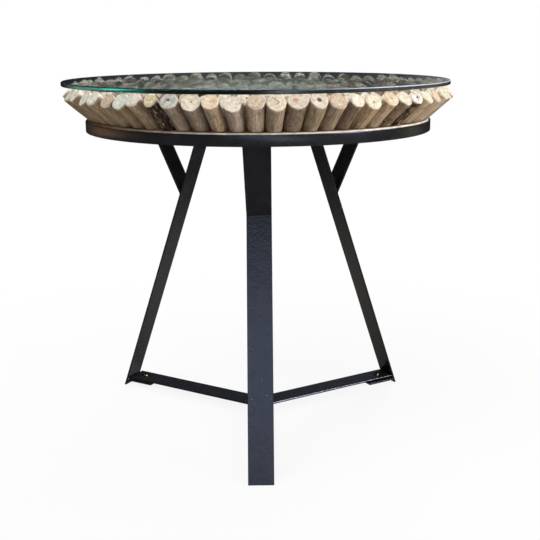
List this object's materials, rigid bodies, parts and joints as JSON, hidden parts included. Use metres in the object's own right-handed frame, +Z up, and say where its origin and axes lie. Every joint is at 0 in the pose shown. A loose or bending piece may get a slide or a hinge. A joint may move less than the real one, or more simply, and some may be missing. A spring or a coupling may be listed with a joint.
{
  "type": "side table",
  "caption": "Round side table: loose glass top on a bed of upright driftwood sticks that flares out at the rim, on a black flat-bar steel tripod base.",
  "frame": {"origin": "on the floor, under the middle of the board and hoop", "axes": "+Z up; -Y towards the front leg; +X to the right as seen from the front"},
  "size_m": [0.6178, 0.6198, 0.5647],
  "materials": {
    "clear_float_glass": "clear with a green edge, both arrises polished",
    "driftwood": "raw and weathered, pale sawn ends",
    "plywood": "raw, cut edge",
    "black_powder_coated_steel": "black satin powder coat",
    "bronze_plated_steel": "bronze-coloured plating, worn bright",
    "zinc_plated_steel": "bright zinc plating",
    "black_nylon": "moulded, matt"
  },
  "bodies": {
    "root": {"glass_top": "clear_float_glass", "base_board": "plywood", "rim_hoop": "black_powder_coated_steel", "front_top_strap": "black_powder_coated_steel", "right_top_strap": "black_powder_coated_steel", "left_top_strap": "black_powder_coated_steel", "front_leg_bar": "black_powder_coated_steel", "right_leg_bar": "black_powder_coated_steel", "left_leg_bar": "black_powder_coated_steel", "front_leg_brace": "black_powder_coated_steel", "right_leg_brace": "black_powder_coated_steel", "left_leg_brace": "black_powder_coated_steel", "front_foot_tab": "black_powder_coated_steel", "right_foot_tab": "black_powder_coated_steel", "left_foot_tab": "black_powder_coated_steel", "front_stretcher_arm": "black_powder_coated_steel", "right_stretcher_arm": "black_powder_coated_steel", "left_stretcher_arm": "black_powder_coated_steel", "foot_bolts": "bronze_plated_steel", "foot_washers": "black_nylon", "foot_nuts": "zinc_plated_steel", "board_screws": "zinc_plated_steel", "rim_sticks_01": "driftwood", "rim_sticks_02": "driftwood", "rim_sticks_03": "driftwood", "rim_sticks_04": "driftwood", "rim_sticks_05": "driftwood", "rim_sticks_06": "driftwood", "rim_sticks_07": "driftwood", "rim_sticks_08": "driftwood", "rim_sticks_09": "driftwood", "rim_sticks_10": "driftwood", "rim_sticks_11": "driftwood", "rim_sticks_12": "driftwood", "rim_sticks_13": "driftwood", "rim_sticks_14": "driftwood", "rim_sticks_15": "driftwood", "rim_sticks_16": "driftwood", "bed_sticks_01": "driftwood", "bed_sticks_02": "driftwood", "bed_sticks_03": "driftwood", "bed_sticks_04": "driftwood", "bed_sticks_05": "driftwood", "bed_sticks_06": "driftwood", "bed_sticks_07": "driftwood", "bed_sticks_08": "driftwood", "bed_sticks_09": "driftwood", "bed_sticks_10": "driftwood", "bed_sticks_11": "driftwood", "bed_sticks_12": "driftwood", "bed_sticks_13": "driftwood", "bed_sticks_14": "driftwood", "bed_sticks_15": "driftwood", "bed_sticks_16": "driftwood", "centre_stick": "driftwood"}
  },
  "joints": []
}
